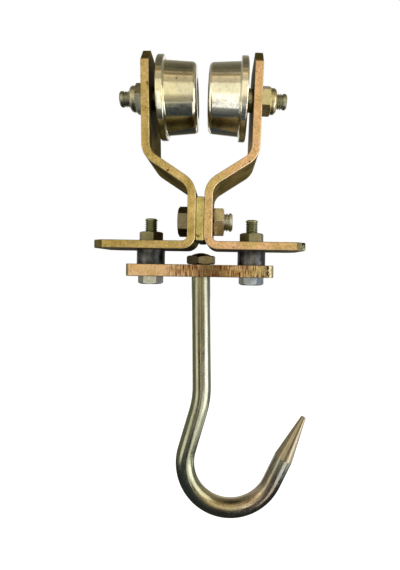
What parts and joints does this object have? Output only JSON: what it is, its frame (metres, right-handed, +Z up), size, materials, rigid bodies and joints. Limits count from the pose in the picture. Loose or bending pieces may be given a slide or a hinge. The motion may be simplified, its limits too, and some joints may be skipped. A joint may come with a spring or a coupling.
{
  "type": "hook pulley",
  "caption": "Swivelling point hook hung under bent flat hangers with flanged wheels that roll along an overhead beam rail.",
  "frame": {"origin": "midway between the wheels, on the running surface of the rail that they roll on", "axes": "+X across the rail towards the hook's point, +Y along the rail away from the viewer, +Z up"},
  "size_m": [0.1335, 0.0524, 0.2966],
  "materials": {
    "left_hanger_plate": "yellow zinc, satin",
    "right_hanger_plate": "yellow zinc, satin",
    "centre_spacer_plate": "yellow zinc, satin",
    "hook_bar_plate": "yellow zinc, sawn edge",
    "bright_zinc": "bright zinc, turned",
    "dull_zinc": "zinc, satin",
    "hook_zinc": "zinc, satin",
    "dark_steel": "blackened",
    "bearing_steel": "ground",
    "spring_steel": "phosphated",
    "cage_polymer": "matte",
    "nylon": "matte"
  },
  "bodies": {
    "frame": {"left_hanger": "left_hanger_plate", "right_hanger": "right_hanger_plate", "centre_spacer": "centre_spacer_plate", "centre_bolt": "dull_zinc", "centre_nut": "dull_zinc", "left_inner_race": "bearing_steel", "right_inner_race": "bearing_steel", "left_axle_collar": "dull_zinc", "right_axle_collar": "dull_zinc", "axle_bolts": "dull_zinc", "axle_nuts": "dull_zinc", "axle_nut_nylons": "nylon", "hook_bar": "hook_bar_plate", "left_bar_spacer": "dark_steel", "right_bar_spacer": "dark_steel", "bar_bolts": "dull_zinc", "bar_nuts": "dull_zinc"},
    "left_wheel": {"left_wheel": "bright_zinc", "left_outer_race": "bearing_steel", "left_bearing_shields": "bearing_steel", "left_circlip": "spring_steel"},
    "right_wheel": {"right_wheel": "bright_zinc", "right_outer_race": "bearing_steel", "right_bearing_shields": "bearing_steel", "right_circlip": "spring_steel"},
    "left_ball_set": {"left_bearing_balls": "bearing_steel", "left_bearing_cage": "cage_polymer"},
    "right_ball_set": {"right_bearing_balls": "bearing_steel", "right_bearing_cage": "cage_polymer"},
    "hook": {"hook_rod": "hook_zinc", "hook_nut": "dull_zinc"}
  },
  "joints": [
    {"name": "left_wheel_spin", "type": "hinge", "parent": "frame", "child": "left_wheel", "pos_m": [-0.0134, 0, 0.0223], "axis": [-0.9997, 0, -0.0262], "continuous": true},
    {"name": "right_wheel_spin", "type": "hinge", "parent": "frame", "child": "right_wheel", "pos_m": [0.0134, 0, 0.0223], "axis": [0.9997, 0, -0.0262], "continuous": true},
    {"name": "left_balls_orbit", "type": "hinge", "parent": "frame", "child": "left_ball_set", "pos_m": [-0.0134, 0, 0.0223], "axis": [-0.9997, 0, -0.0262], "continuous": true},
    {"name": "right_balls_orbit", "type": "hinge", "parent": "frame", "child": "right_ball_set", "pos_m": [0.0134, 0, 0.0223], "axis": [0.9997, 0, -0.0262], "continuous": true},
    {"name": "hook_swivel", "type": "hinge", "parent": "frame", "child": "hook", "pos_m": [0, 0, -0.08845], "axis": [0, 0, 1], "continuous": true}
  ],
  "couplings": [
    {"joint": "left_balls_orbit", "follows": "left_wheel_spin", "ratio": 0.619},
    {"joint": "right_balls_orbit", "follows": "right_wheel_spin", "ratio": 0.619}
  ]
}
